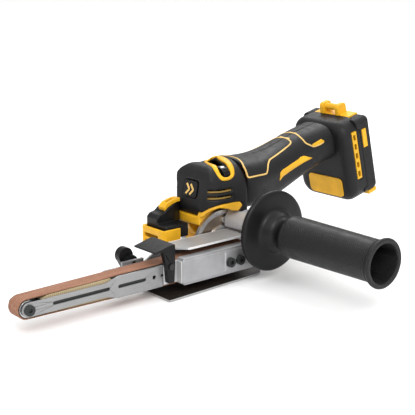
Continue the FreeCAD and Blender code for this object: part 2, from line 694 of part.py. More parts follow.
def guard_channel():
    """Folded steel channel: back wall, top flange and the wider bottom plate."""
    wall_y = (GUARD_Y[0], GUARD_Y[0] + SHEET)
    wall = side_plate([(0.0, GUARD_BOTTOM), (GUARD_FRONT, GUARD_BOTTOM), (GUARD_FRONT, 6.0), (TOP_FRONT, GUARD_TOP),
                       (0.0, GUARD_TOP)], wall_y)
    tail = cyl_y(0, 0, GUARD_TOP, wall_y)
    top = flat_plate([(0.0, GUARD_Y[0]), (TOP_FRONT, GUARD_Y[0]), (TOP_FRONT, 3.0), (TOP_FRONT - 8.0, GUARD_Y[1]),
                      (0.0, GUARD_Y[1])], (GUARD_TOP - SHEET, GUARD_TOP))
    rear, front = GUARD_REST
    bottom = flat_plate([(rear, GUARD_Y[0]), (front, GUARD_Y[0]), (front, GUARD_LIP_Y[1]), (rear, GUARD_LIP_Y[0])],
                        (GUARD_BOTTOM, GUARD_BOTTOM + SHEET))
    bottom = rounded(bottom, 12.0, lambda p, t: abs(t.z) > 0.9 and p.y > 0 and p.x < 10)
    channel = join([wall, tail, top, bottom])
    return channel.cut(cyl_y(0, 0, 10.0 + RUNNING, wall_y))


def arm_cover():
    """Cast cover over the belt's near side, bevelled along its top and bottom."""
    outline = [(0.0, -9.6), (68.0, -9.6), (70.5, -7.0), (70.5, 9.0), (68.0, 12.0), (0.0, 12.0)]
    body = join([side_plate(outline, (8.3, 16.0)), cyl_y(0, 1.2, 10.8, (8.3, 16.0))])
    bevel = body.common(box((-20, 80), (7.0, 17.0), (-7.6, 10.0)))
    bevel.translate(vec(0, 0.8, 0))
    panel = box((-9.0, 27.0), (16.0, 17.4), (-6.4, 8.8))
    body = join([body, bevel, panel])
    body = body.cut(cyl_y(0, 0, 8.0, (8.0, 9.0)))
    for x in (12.6, 22.7):
        body = body.cut(cyl_y(x, 0.5, 1.9, (8.0, 18.0)))
    return body


def cover_bolts():
    bolts = []
    for x in (12.6, 22.7):
        bolt = join([cyl_y(x, 0.5, 1.9, (2.0, 17.5)), cyl_y(x, 0.5, 3.9, (17.4, 20.4))])
        bolts.append(bolt.cut(cyl_y(x, 0.5, 1.8, (18.4, 21.0))))
    return Part.makeCompound(bolts)


def lever_bracket():
    plate = box((70.8, 84.0), (9.8, 11.0), (-7.0, 10.5))
    flange = box((70.8, 72.0), (9.8, 17.0), (-7.0, 10.5))
    tie = box((66.0, 72.0), (7.5, 8.3), (-5.0, 5.0)).fuse(box((70.8, 72.0), (7.5, 10.0), (-5.0, 5.0)))
    bracket = join([plate, flange, tie])
    return bracket.cut(cyl_y(LEVER_PIVOT[0], LEVER_PIVOT[1], 1.5, (9.0, 12.0)))


def lever_pin():
    return join([cyl_y(LEVER_PIVOT[0], LEVER_PIVOT[1], 1.5, (9.8, 16.4)),
                 cyl_y(LEVER_PIVOT[0], LEVER_PIVOT[1], 2.4, (16.0, 17.0))])


def release_lever():
    """Thumb tab over the belt, a leg down the near side and a toe that pushes the arm back."""
    leg = side_plate([(77.5, -5.0), (83.0, -5.0), (84.5, 8.0), (88.0, 21.6), (76.5, 22.6), (76.5, 8.0)],
                     (11.3, 15.7))
    tab = side_plate([(76.5, 22.4), (95.5, 20.6), (95.5, 21.8), (80.0, 25.4), (76.5, 25.0)], (-11.5, 15.7))
    lever = join([leg, tab])
    return lever.cut(cyl_y(LEVER_PIVOT[0], LEVER_PIVOT[1], 1.5 + RUNNING, (10.0, 18.0)))


def tracking_block():
    block = box((88.0, 108.0), (-11.8, -9.5), (-4.0, 11.0))
    return block.cut(cyl_y(TRACKING_AXIS[0], TRACKING_AXIS[1], 2.0 + RUNNING, (-13.0, -9.0)))


def tracking_knob():
    """Wing that is turned by hand: a hub and a paddle that leans forward, wider at the top."""
    x, z = TRACKING_AXIS
    wing_y = (-22.0, -16.0)
    top = (x + 3.0, z + 5.5)
    bottom = (x - 2.0, z - 6.5)
    paddle = side_plate([(top[0] - 6.3, top[1] + 1.5), (top[0] + 6.0, top[1] - 2.0), (bottom[0] + 4.6, bottom[1] - 1.3),
                         (bottom[0] - 4.4, bottom[1] + 1.0)], wing_y)
    paddle = paddle.fuse([cyl_y(top[0], top[1], 6.4, wing_y), cyl_y(bottom[0], bottom[1], 4.7, wing_y)])
    hub = cyl_y(x, z, 6.0, (-16.5, -13.0))
    stem = cyl_y(x, z, 2.0, (-13.1, -9.7))
    return join([paddle, hub, stem])


# ---- side handle --------------------------------------------------------------------------------------------
def handle_washer():
    x, z = HANDLE_AXIS
    return ring_y(x, z, 11.5, STUD_RADIUS + RUNNING, (26.0, HANDLE_FLANGE_Y))


def handle_stud():
    x, z = HANDLE_AXIS
    return cyl_y(x, z, STUD_RADIUS, (6.0, 58.0))


def handle_flange():
    """Guard disc with a curved neck behind it."""
    x, z = HANDLE_AXIS
    start = HANDLE_FLANGE_Y
    profile = [(start, STUD_RADIUS), (start, HANDLE_FLANGE_RADIUS - 2.0), (start + 1.5, HANDLE_FLANGE_RADIUS),
               (start + 3.5, HANDLE_FLANGE_RADIUS), (start + 5.0, HANDLE_FLANGE_RADIUS - 3.0),
               (start + 6.5, 22.0), (start + 10.0, 15.5), (start + 15.0, 13.0), (start + 20.0, 13.2),
               (start + 24.0, 15.8), (start + 24.0, STUD_RADIUS)]
    return turned_y(profile, x, z)


def handle_grip():
    """Soft sleeve with a deep open end."""
    x, z = HANDLE_AXIS
    start = HANDLE_FLANGE_Y + 24.0
    end = HANDLE_END_Y
    profile = [(start, STUD_RADIUS), (start, 16.4), (start + 5.0, 16.9), (start + 60.0, 16.6), (end - 3.5, 17.3),
               (end, 16.6), (end, 14.2), (end - 38.0, 12.5), (end - 38.0, 0.0), (start + 6.0, 0.0),
               (start + 6.0, STUD_RADIUS)]
    return turned_y(profile, x, z)


# ---- handle and trigger -------------------------------------------------------------------------------------
def handle_section(x, top, bottom, half, inset):
    """Closed smooth section of the handle, squarer than an ellipse."""
    middle = (top + bottom) / 2
    height = (top - bottom) / 2 - inset
    width = half - inset
    points = []
    for step in range(16):
        angle = 2 * math.pi * step / 16
        cosine = math.cos(angle)
        sine = math.sin(angle)
        power = 0.72
        points.append(vec(x, BODY_Y + width * math.copysign(abs(cosine) ** power, cosine),
                          middle + height * math.copysign(abs(sine) ** power, sine)))
    curve = Part.BSplineCurve()
    curve.interpolate(Points=points, PeriodicFlag=True)
    return Part.Wire([curve.toShape()])


HANDLE_STATIONS = (
    (HEAD_SEAM, HEAD_TOP, HEAD_BOTTOM, HEAD_HALF_WIDTH),
    (-38.0, 72.5, 30.5, 25.5),
    (-60.0, 75.5, 34.5, 21.5),
    (-82.0, 82.0, 42.5, 20.0),
    (-104.0, 88.0, 51.5, 20.5),
    (-136.0, 96.5, 58.5, 22.0),
)


def handle_solid(inset):
    wires = [handle_section(x, top, bottom, half, inset) for x, top, bottom, half in HANDLE_STATIONS]
    return Part.makeLoft(wires, True, False)


def handle_tube():
    tube = handle_solid(0).cut(handle_solid(WALL))
    tube = tube.cut(foot_place(box((0.0, 60.0), (-40.0, 40.0), (-60.0, 60.0))))
    tube = tube.cut(box((-107.0, -60.5), (BODY_Y - 8.0, BODY_Y + 8.0), (20.0, 60.0)))
    tube = tube.cut(cyl_y(TRIGGER_PIVOT[0], TRIGGER_PIVOT[1], 1.5 + RUNNING, (BODY_Y - 12.3, BODY_Y + 12.3)))
    collar_room = cyl_y(COLLAR_CENTRE[0], COLLAR_CENTRE[1], HANDLE_GAP_RADIUS, (-19.0, 10.0))
    return tube.cut(collar_room)


def handle_shell(side):
    half = box((-200, 20), (BODY_Y, BODY_Y + side * 60) if side > 0 else (BODY_Y - 60, BODY_Y), (0, 120))
    return handle_tube().common(half)


def handle_shell_left():
    return handle_shell(1)


def handle_shell_right():
    return handle_shell(-1)


def trigger_paddle():
    """Long paddle under the handle, hinged at its rear end."""
    outline = [(-100.0, 48.5), (-86.0, 41.8), (-68.0, 38.0), (-62.0, 38.6), (-62.0, 43.5), (-70.0, 46.0),
               (-88.0, 50.0), (-100.0, 55.5), (-105.5, 55.5), (-105.5, 50.5)]
    paddle = side_plate(outline, (BODY_Y - 7.0, BODY_Y + 7.0))
    return join([paddle, cyl_y(TRIGGER_PIVOT[0], TRIGGER_PIVOT[1], 1.5, (BODY_Y - 12.0, BODY_Y + 12.0))])


def switch_module():
    return box((-98.0, -68.0), (BODY_Y - 9.0, BODY_Y + 9.0), (60.0, 74.0))


def control_board():
    return box((-116.0, -100.5), (BODY_Y - 11.0, BODY_Y + 11.0), (64.0, 80.0))


# ---- battery foot -------------------------------------------------------------------------------------------
def foot_place(shape):
    """Move a piece drawn as (depth to the rear, sideways, up the face) onto the tilted foot."""
    placed = shape.mirror(vec(0, 0, 0), vec(1, 0, 0))
    placed.rotate(vec(0, 0, 0), vec(0, 1, 0), math.degrees(FOOT_TILT))
    placed.translate(vec(FOOT_FACE[0], BODY_Y, FOOT_FACE[1]))
    return placed


def foot_block(inset, depth):
    block = box((inset, depth), (-FOOT_HALF_WIDTH + inset, FOOT_HALF_WIDTH - inset),
                (-FOOT_HALF_HEIGHT + inset, FOOT_HALF_HEIGHT - inset))
    block = rounded(block, 14.0, lambda p, t: abs(t.x) > 0.9)
    return rounded(block, 9.0, lambda p, t: p.x < inset + 0.1)


VENT_SPAN = (-17.0, 28.0)


def foot_shell():
    shell = foot_block(0, FOOT_DEPTH).cut(foot_block(WALL, FOOT_DEPTH + 1))
    back = box((FOOT_DEPTH - 2.0, FOOT_DEPTH), (-31, 31), (-36, 36))
    back = rounded(back, 10.0, lambda p, t: abs(t.x) > 0.9)
    shell = join([shell, back])
    for side in (-1, 1):
        recess = box((10.5, 16.5), tuple(sorted((side * (FOOT_HALF_WIDTH - 3), side * 40))), VENT_SPAN)
        shell = shell.cut(recess)
    shell = shell.cut(box((-1.0, 4.0), (-7.0, 7.0), (6.0, 20.0)))
    return foot_place(shell)


def vent_strips():
    """Slatted strip in each side of the foot."""
    strips = []
    for side in (-1, 1):
        strip = box((10.7, 16.3), tuple(sorted((side * (FOOT_HALF_WIDTH - 2.2), side * FOOT_HALF_WIDTH))),
                    (VENT_SPAN[0] + 0.2, VENT_SPAN[1] - 0.2))
        pitch = (VENT_SPAN[1] - VENT_SPAN[0]) / 5.2
        for step in range(5):
            low = VENT_SPAN[0] + 2.2 + step * pitch
            window = box((12.0, 15.0), (-50, 50), (low, low + pitch * 0.62))
            strip = strip.cut(window)
        strips.append(foot_place(strip))
    return strips


def cheek(side):
    """Rear cheek beside the battery rails."""
    y = tuple(sorted((side * 21.0, side * FOOT_HALF_WIDTH)))
    block = box(CHEEK, y, (-34.0, 37.0))
    block = rounded(block, 5.0, lambda p, t: p.x > CHEEK[1] - 0.1 or (abs(t.x) > 0.9 and abs(p.y) > 30))
    notch = box((23.4, 28.6), tuple(sorted((side * (FOOT_HALF_WIDTH - 1.0), side * 40))), (9.4, 26.6))
    return foot_place(block.cut(notch).cut(foot_block(-0.1, FOOT_DEPTH)))


def cheeks():
    return Part.makeCompound([cheek(-1), cheek(1)])


def foot_trim():
    """Yellow inserts of the foot: the vent strips, the cheek caps and the skids under the cheeks."""
    caps = vent_strips()
    for side in (-1, 1):
        y = tuple(sorted((side * (FOOT_HALF_WIDTH - 1.0), side * (FOOT_HALF_WIDTH + 0.4))))
        caps.append(foot_place(box((23.5, 28.5), y, (9.5, 26.5))))
        skid = box((24.5, 35.0), tuple(sorted((side * 21.5, side * 30.5))), (-37.5, -34.0))
        caps.append(foot_place(rounded(skid, 2.5, lambda p, t: p.x > 34 and p.z < -37)))
    return Part.makeCompound(caps)


def battery_rails():
    rails = []
    for side in (-1, 1):
        y = tuple(sorted((side * 15.0, side * 20.8)))
        web = box((FOOT_DEPTH, 30.0), y, (-30.0, 32.0))
        lip = box((27.0, 30.0), tuple(sorted((side * 12.0, side * 15.5))), (-30.0, 32.0))
        rails.append(foot_place(join([web, lip])))
    return Part.makeCompound(rails)


def terminal_block():
    """Plastic block with five contact blades standing out of it."""
    solids = [foot_place(box((FOOT_DEPTH, 25.5), (-11.0, 11.0), (8.0, 32.0)))]
    for step in range(5):
        y = -8.0 + 4.0 * step
        solids.append(foot_place(box((25.5, 31.0), (y - 0.4, y + 0.4), (10.0, 26.0))))
    return Part.makeCompound(solids)


def lanyard_bridge():
    """Saddle on top of the foot with a loop to tie a lanyard to."""
    top = FOOT_HALF_HEIGHT
    saddle = box((FOOT_DEPTH, 34.0), (-20.8, 20.8), (33.0, top))
    posts = []
    for y in ((-11.5, -7.0), (7.0, 11.0)):
        post = box((19.6, 31.0), y, (top, top + 10.0))
        posts.append(rounded(post, 3.5, lambda p, t: p.z > top + 9.9 and abs(t.y) > 0.9))
    bar = Part.makeCylinder(3.0, 15.0, vec(25.2, -7.5, top + 6.0), vec(0, 1, 0))
    return foot_place(join([saddle, bar] + posts))


def label_plate():
    plate = rounded(box((-0.9, 2.0), LABEL[0], LABEL[1]), 4.0, lambda p, t: abs(t.x) > 0.9)
    return foot_place(plate.cut(foot_block(0, FOOT_DEPTH)))


# ---- all pieces ---------------------------------------------------------------------------------------------
PIECES = (
    gear_case, gear_case_cover, case_screws, collar_plate, handle_boss, head_cover, dial_bezel, speed_dial,
    nose_plate, dust_duct, duct_collar,
    stator, rotor, motor_shaft, cooling_fan, shaft_bearings, motor_frame, bevel_pinion, bevel_gear,
    cross_shaft, cross_gear, idler_gear, idler_pin, output_gear, output_shaft, drive_pulley,
    sanding_belt, arm_plate_left, arm_plate_right, arm_core, upper_pad, lower_pad, idler_roller, idler_axle,
    arm_sleeve, tension_spring, guard_channel, arm_cover, cover_bolts, lever_bracket, lever_pin,
    release_lever, tracking_block, tracking_knob,
    handle_washer, handle_stud, handle_flange, handle_grip,
    handle_shell_left, handle_shell_right, trigger_paddle, switch_module, control_board,
    foot_shell, foot_trim, cheeks, battery_rails, terminal_block, lanyard_bridge, label_plate,
)


def base_centre(shapes):
    """Point under the middle of the whole tool, level with its lowest face."""
    bounds = FreeCAD.BoundBox()
    for shape in shapes.values():
        bounds.add(shape.optimalBoundingBox(False))
    return vec((bounds.XMin + bounds.XMax) / 2, (bounds.YMin + bounds.YMax) / 2, bounds.ZMin)


def build():
    shapes = {piece.__name__: piece() for piece in PIECES}
    centre = base_centre(shapes)
    for shape in shapes.values():
        shape.translate(centre * -1)
    return shapes, centre


if __name__ == "__main__":
    os.makedirs("parts", exist_ok=True)
    finished, origin = build()
    for name, shape in finished.items():
        shape.exportStep("parts/" + name + ".step")
    print("drive axis from the origin:", origin * -1)
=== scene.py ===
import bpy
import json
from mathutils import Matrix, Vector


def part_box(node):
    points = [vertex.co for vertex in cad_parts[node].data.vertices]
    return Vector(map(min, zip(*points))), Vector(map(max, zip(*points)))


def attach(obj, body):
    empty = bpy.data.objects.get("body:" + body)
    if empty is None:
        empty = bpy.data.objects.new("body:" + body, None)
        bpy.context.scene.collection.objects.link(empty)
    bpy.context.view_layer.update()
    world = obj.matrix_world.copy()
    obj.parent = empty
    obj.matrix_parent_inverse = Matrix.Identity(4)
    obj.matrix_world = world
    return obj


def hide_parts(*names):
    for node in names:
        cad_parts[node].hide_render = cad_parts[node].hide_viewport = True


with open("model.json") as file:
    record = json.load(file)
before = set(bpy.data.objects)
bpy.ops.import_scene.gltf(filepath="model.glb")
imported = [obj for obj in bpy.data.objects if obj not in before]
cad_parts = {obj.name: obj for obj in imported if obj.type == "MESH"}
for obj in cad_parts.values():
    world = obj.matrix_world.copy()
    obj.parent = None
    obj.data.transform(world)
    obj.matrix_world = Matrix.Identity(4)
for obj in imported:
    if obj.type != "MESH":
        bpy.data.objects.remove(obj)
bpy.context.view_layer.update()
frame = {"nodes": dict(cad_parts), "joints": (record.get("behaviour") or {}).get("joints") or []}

import json
import math
import random

import bmesh
import bpy
from mathutils import Matrix, Vector
from mathutils.bvhtree import BVHTree

# Looks of the handheld belt sander. Lengths are millimetres from the drive axis (X to the nose of the arm,
# Y to the side handle, Z up) and become metres in at().

JOINT = {joint["name"]: joint for joint in frame["joints"]}
DRIVE = Vector(JOINT["arm_swing"]["pos_m"])
NODE = frame["nodes"]
MM = 0.001


def at(x, y, z):
    return DRIVE + Vector((x, y, z)) * MM


def away(point):
    """Millimetres from the drive axis of a point of the frame."""
    return (Vector(point) - DRIVE) / MM


BODY_Y = away(JOINT["motor_spin"]["pos_m"]).y
NOSE_X = away(JOINT["nose_roller_spin"]["pos_m"]).x
HANDLE_X, _, HANDLE_Z = away(JOINT["handle_turn"]["pos_m"])
DIAL_X, DIAL_Y, DIAL_Z = away(JOINT["speed_set"]["pos_m"])
COLLAR_X, COLLAR_Z = 3.0, 6.0
SHELL_MIDDLE_Z = 45.0
SHELL_FRONT_X = 20.0
BELT_THICK = 1.0
BELT_GAP = 0.05
TRIM_SINK = 0.2
WELD_MM = 0.002
SHARP_ANGLE = math.radians(32)

BLACK = (0.012, 0.012, 0.013)
SOFT_BLACK = (0.010, 0.010, 0.011)
DEEP_BLACK = (0.005, 0.005, 0.0055)
YELLOW = (0.76, 0.40, 0.016)
GOLD = (0.72, 0.47, 0.15)
CAST_GREY = (0.40, 0.40, 0.41)
STEEL = (0.55, 0.55, 0.56)
BRIGHT = (0.74, 0.74, 0.74)
# brown painted as the reflection and shade in the turned collar's groove
REFLECTED_BROWN = (0.34, 0.27, 0.21)
GRIT = (0.28, 0.135, 0.085)
CLOTH = (0.42, 0.33, 0.20)


# ---- material building blocks --------------------------------------------------------------------
class Surface:
    """One material: a shader with constant settings, and textures read from the object's own coordinates."""

    def __init__(self, name, metallic=0.0, specular=0.5):
        self.material = bpy.data.materials.new(name)
        self.material.use_nodes = True
        self.tree = self.material.node_tree
        self.shader = self.tree.nodes["Principled BSDF"]
        self.shader.inputs["Metallic"].default_value = metallic
        self.shader.inputs["Specular IOR Level"].default_value = specular
        self.height = None
        coordinates = self.add("ShaderNodeTexCoord")
        self.place = coordinates.outputs["Object"]

    def add(self, kind, **settings):
        node = self.tree.nodes.new(kind)
        for key, value in settings.items():
            setattr(node, key, value)
        return node

    def link(self, source, target):
        self.tree.links.new(source, target)

    def math(self, operation, first, second=0.0):
        node = self.add("ShaderNodeMath", operation=operation)
        for socket, value in zip(node.inputs, (first, second)):
            if isinstance(value, (int, float)):
                socket.default_value = value
            else:
                self.link(value, socket)
        return node.outputs[0]

    def stretched(self, scale):
        """Object coordinates multiplied by a different number along each axis."""
        mapping = self.add("ShaderNodeMapping")
        mapping.inputs["Scale"].default_value = scale
        self.link(self.place, mapping.inputs["Vector"])
        return mapping.outputs["Vector"]

    def noise(self, size_mm, detail=3.0, stretch=(1, 1, 1)):
        """Noise whose features are about this size, larger where stretch is larger."""
        node = self.add("ShaderNodeTexNoise")
        node.inputs["Scale"].default_value = 1.0
        node.inputs["Detail"].default_value = detail
        per_metre = 1 / (size_mm * MM)
        self.link(self.stretched([per_metre / s for s in stretch]), node.inputs["Vector"])
        return node.outputs["Fac"]

    def cells(self, size_mm):
        node = self.add("ShaderNodeTexVoronoi")
        node.inputs["Scale"].default_value = 1.0
        self.link(self.stretched([1 / (size_mm * MM)] * 3), node.inputs["Vector"])
        return node.outputs["Distance"]

    def radius_mm(self, centre, axis):
        """Distance from a line through centre along the axis index."""
        shift = self.add("ShaderNodeVectorMath", operation="SUBTRACT")
        shift.inputs[1].default_value = centre
        self.link(self.place, shift.inputs[0])
        flat = self.add("ShaderNodeVectorMath", operation="MULTIPLY")
        flat.inputs[1].default_value = [0 if i == axis else 1 / MM for i in range(3)]
        self.link(shift.outputs[0], flat.inputs[0])
        length = self.add("ShaderNodeVectorMath", operation="LENGTH")
        self.link(flat.outputs[0], length.inputs[0])
        return length.outputs["Value"]

    def axis_mm(self, index, origin=0.0):
        """One object coordinate in millimetres, counted from origin in metres."""
        split = self.add("ShaderNodeSeparateXYZ")
        self.link(self.place, split.inputs[0])
        return self.math("MULTIPLY", self.math("SUBTRACT", split.outputs[index], origin), 1 / MM)

    def spread(self, value, low, high, start=0.3, end=0.7):
        node = self.add("ShaderNodeMapRange")
        node.inputs["From Min"].default_value = start
        node.inputs["From Max"].default_value = end
        node.inputs["To Min"].default_value = low
        node.inputs["To Max"].default_value = high
        self.link(value, node.inputs["Value"])
        return node.outputs["Result"]

    def blend(self, share, first, second):
        node = self.add("ShaderNodeMix", data_type="RGBA")
        self.link(share, node.inputs["Factor"])
        for socket, value in zip((node.inputs[6], node.inputs[7]), (first, second)):
            if isinstance(value, tuple):
                socket.default_value = (*value, 1.0)
            else:
                self.link(value, socket)
        return node.outputs[2]

    def colour(self, value):
        self.link(value, self.shader.inputs["Base Color"])

    def rough(self, value):
        self.link(value, self.shader.inputs["Roughness"])

    def bump(self, height, depth_mm, strength=0.6):
        """Adds relief on top of the relief already there."""
        node = self.add("ShaderNodeBump")
        node.inputs["Strength"].default_value = strength
        node.inputs["Distance"].default_value = depth_mm * MM
        self.link(height, node.inputs["Height"])
        if self.height:
            self.link(self.height, node.inputs["Normal"])
        self.height = node.outputs["Normal"]
        self.link(self.height, self.shader.inputs["Normal"])


def tinted(colour, factor):
    return tuple(channel * factor for channel in colour)


def plastic(name, colour, roughness=0.45, grain_mm=0.35, depth_mm=0.03, specular=0.25, scuffs=True):
    """Moulded plastic: spark-eroded grain, uneven sheen and faint rubbed patches."""
    surface = Surface(name, specular=specular)
    patches = surface.noise(14.0)
    grain = surface.noise(grain_mm, detail=2.0)
    faded = tinted(colour, 0.86)
    fresh = tinted(colour, 1.12)
    surface.colour(surface.blend(surface.spread(patches, 0.0, 1.0), faded, fresh))
    surface.rough(surface.spread(surface.noise(5.0), roughness - 0.06, roughness + 0.08))
    surface.bump(grain, depth_mm)
    if scuffs:
        surface.bump(surface.noise(1.6, detail=5.0, stretch=(4, 1, 1)), depth_mm * 0.6, 0.3)
    return surface.material


def brushed(name, colour, roughness=0.3, along=(30, 1, 1), depth_mm=0.006, metallic=1.0):
    """Rolled or ground steel with fine scratches along one direction and a few duller patches."""
    surface = Surface(name, metallic=metallic)
    lines = surface.noise(0.3, detail=3.0, stretch=along)
    clouds = surface.noise(18.0)
    worn = surface.blend(surface.spread(lines, 0.0, 1.0), tinted(colour, 0.93), tinted(colour, 1.06))
    surface.colour(surface.blend(surface.spread(clouds, 0.0, 0.3), worn, tinted(colour, 0.85)))
    surface.rough(surface.spread(surface.noise(6.0, detail=2.0), roughness - 0.03, roughness + 0.05))
    surface.bump(lines, depth_mm, 0.25)
    return surface.material


def guard_sheet():
    """Folded sheet: a painted highlight along its top folds, and painted shade on the faces inside the
    channel turned to the belt.
    """
    lip_top = (-16.35, -16.1)
    top_shade = (12.0, 15.5)
    wall_inside = (-12.1, -11.6)
    wall_fold = (-12.8, -12.2)
    flange_edge = (9.2, 9.8)
    flange_top = (15.0, 15.8)
    light_sheet = (0.45, 0.45, 0.45)
    dark_sheet = (0.36, 0.36, 0.36)
    # near-white painted as the highlight along the top folds
    painted_highlight_colour = (0.85, 0.85, 0.85)
    # near-black brown painted as the shade inside the channel turned to the belt
    dust = (0.028, 0.022, 0.018)
    surface = Surface("guard_sheet", metallic=0.45)
    lines = surface.noise(0.3, detail=3.0, stretch=(30, 1, 1))
    height = surface.axis_mm(2, DRIVE.z)
    aside = surface.axis_mm(1, DRIVE.y)
    above_lip = surface.spread(height, 0.0, 1.0, *lip_top)
    below_top = surface.spread(height, 1.0, 0.0, *top_shade)
    inside = surface.spread(aside, 0.0, 1.0, *wall_inside)
    # painted shade: the channel's inside faces between the bottom lip and the top flange
    painted_shade_mask = surface.math("MULTIPLY", surface.math("MULTIPLY", above_lip, below_top), inside)
    folds = surface.math("MAXIMUM", surface.spread(aside, 1.0, 0.0, *wall_fold),
                         surface.spread(aside, 0.0, 1.0, *flange_edge))
    # painted highlight: a bright line along the wall fold and the flange's free edge, at the top flange's
    # height
    rubbed = surface.math("MULTIPLY", folds, surface.spread(height, 0.0, 1.0, *flange_top))
    sheet = surface.blend(surface.spread(lines, 0.0, 1.0), dark_sheet, light_sheet)
    sheet = surface.blend(rubbed, sheet, painted_highlight_colour)
    surface.colour(surface.blend(painted_shade_mask, sheet, dust))
    surface.rough(surface.spread(surface.noise(6.0, detail=2.0), 0.36, 0.48))
    surface.bump(lines, 0.006, 0.25)
    return surface.material


def cast(name, colour, roughness=0.5, metallic=0.75):
    """Die-cast aluminium with a fine shot-blasted skin."""
    surface = Surface(name, metallic=metallic)
    skin = surface.noise(0.5, detail=4.0)
    clouds = surface.noise(20.0)
    surface.colour(surface.blend(surface.spread(clouds, 0.0, 1.0), tinted(colour, 0.9), tinted(colour, 1.1)))
    surface.rough(surface.spread(surface.noise(4.0), roughness - 0.05, roughness + 0.08))
    surface.bump(skin, 0.04, 0.5)
    return surface.material


def turned_disc(name, centre):
    """Faced and polished plate: fine lathe rings, and a brown ring painted in as the belt's reflection and
    the shade in the groove.
    """
    recess_start = (14.2, 14.8)
    recess_end = (22.4, 23.2)
    ring_rate = 24.0
    surface = Surface(name, metallic=0.9)
    radius = surface.radius_mm(centre, 1)
    rings = surface.math("SINE", surface.math("MULTIPLY", radius, ring_rate))
    # painted reflection and shade: a brown ring across the groove's radii
    painted_reflection_ring = surface.math("MULTIPLY", surface.spread(radius, 0.0, 1.0, *recess_start),
                          surface.spread(radius, 1.0, 0.0, *recess_end))
    smears = surface.noise(6.0, detail=4.0)
    bright = surface.blend(surface.spread(smears, 0.0, 1.0), tinted(BRIGHT, 0.82), BRIGHT)
    surface.colour(surface.blend(painted_reflection_ring, bright, REFLECTED_BROWN))
    surface.rough(surface.spread(smears, 0.26, 0.36))
    surface.bump(rings, 0.004, 0.2)
    return surface.material


def grit_belt():
    """Coated abrasive: resin-bound grains, rubbed lighter in streaks along the belt."""
    surface = Surface("belt_abrasive", specular=0.25)
    grains = surface.cells(0.42)
    clumps = surface.noise(1.4, detail=5.0)
    streaks = surface.noise(2.2, detail=3.0, stretch=(18, 1, 1))
    base = surface.blend(surface.spread(clumps, 0.0, 1.0), tinted(GRIT, 0.78), tinted(GRIT, 1.2))
    surface.colour(surface.blend(surface.spread(streaks, 0.0, 0.45, 0.45, 0.75), base, (0.46, 0.27, 0.19)))
    surface.rough(surface.spread(grains, 0.7, 0.92, 0.0, 0.6))
    surface.bump(grains, 0.16, 0.8)
    surface.bump(clumps, 0.08, 0.4)
    return surface.material


def woven(name, colour, pitch_mm):
    """Cloth of crossing threads, for the belt's backing and the pads' facing."""
    surface = Surface(name, specular=0.15)
    per_mm = 2 * math.pi / pitch_mm
    warp = surface.math("SINE", surface.math("MULTIPLY", surface.axis_mm(0), per_mm))
    weft = surface.math("SINE", surface.math("MULTIPLY", surface.axis_mm(1), per_mm))
    threads = surface.math("MULTIPLY", warp, weft)
    hollow = tinted(colour, 0.7)
    raised = tinted(colour, 1.15)
    surface.colour(surface.blend(surface.spread(threads, 0.0, 1.0, -0.8, 0.8), hollow, raised))
    surface.rough(surface.spread(surface.noise(2.0), 0.75, 0.9))
    surface.bump(threads, 0.1, 0.8)
    return surface.material


def pimpled_rubber(name, centre, radius_mm):
    """Soft grip: rows of small square pips in four panels, with plain bands between the panels."""
    surface = Surface(name, specular=0.35)
    turn_x = surface.axis_mm(0, centre[0])
    turn_z = surface.axis_mm(2, centre[2])
    angle = surface.math("ARCTAN2", turn_z, turn_x)
    length = surface.axis_mm(1, 0.0)
    pitch = 2.0
    panels = 4.0
    panel_edge = (-0.75, -0.55)
    rows = round(2 * math.pi * radius_mm / pitch)
    across = surface.math("SINE", surface.math("MULTIPLY", angle, rows))
    along = surface.math("SINE", surface.math("MULTIPLY", length, 2 * math.pi / pitch))
    pips = surface.math("MAXIMUM", surface.math("MULTIPLY", across, along), 0.0)
    bands = surface.math("SINE", surface.math("MULTIPLY", angle, panels))
    panel = surface.spread(bands, 0.0, 1.0, *panel_edge)
    pips = surface.math("MULTIPLY", pips, panel)
    worn = surface.noise(9.0)
    base = surface.blend(surface.spread(worn, 0.0, 1.0), tinted(SOFT_BLACK, 0.45), tinted(SOFT_BLACK, 0.75))
    surface.colour(surface.blend(surface.spread(pips, 0.0, 1.0, 0.2, 0.9), base, tinted(SOFT_BLACK, 2.0)))
    surface.rough(surface.spread(worn, 0.42, 0.58))
    surface.bump(pips, 0.6, 1.0)
    surface.bump(surface.noise(0.3), 0.02, 0.4)
    return surface.material


def floor_paper():
    surface = Surface("studio_floor", specular=0.2)
    surface.colour(surface.blend(surface.noise(90.0), (0.90, 0.90, 0.895), (0.93, 0.93, 0.93)))
    surface.rough(surface.spread(surface.noise(2.0), 0.7, 0.85))
    return surface.material


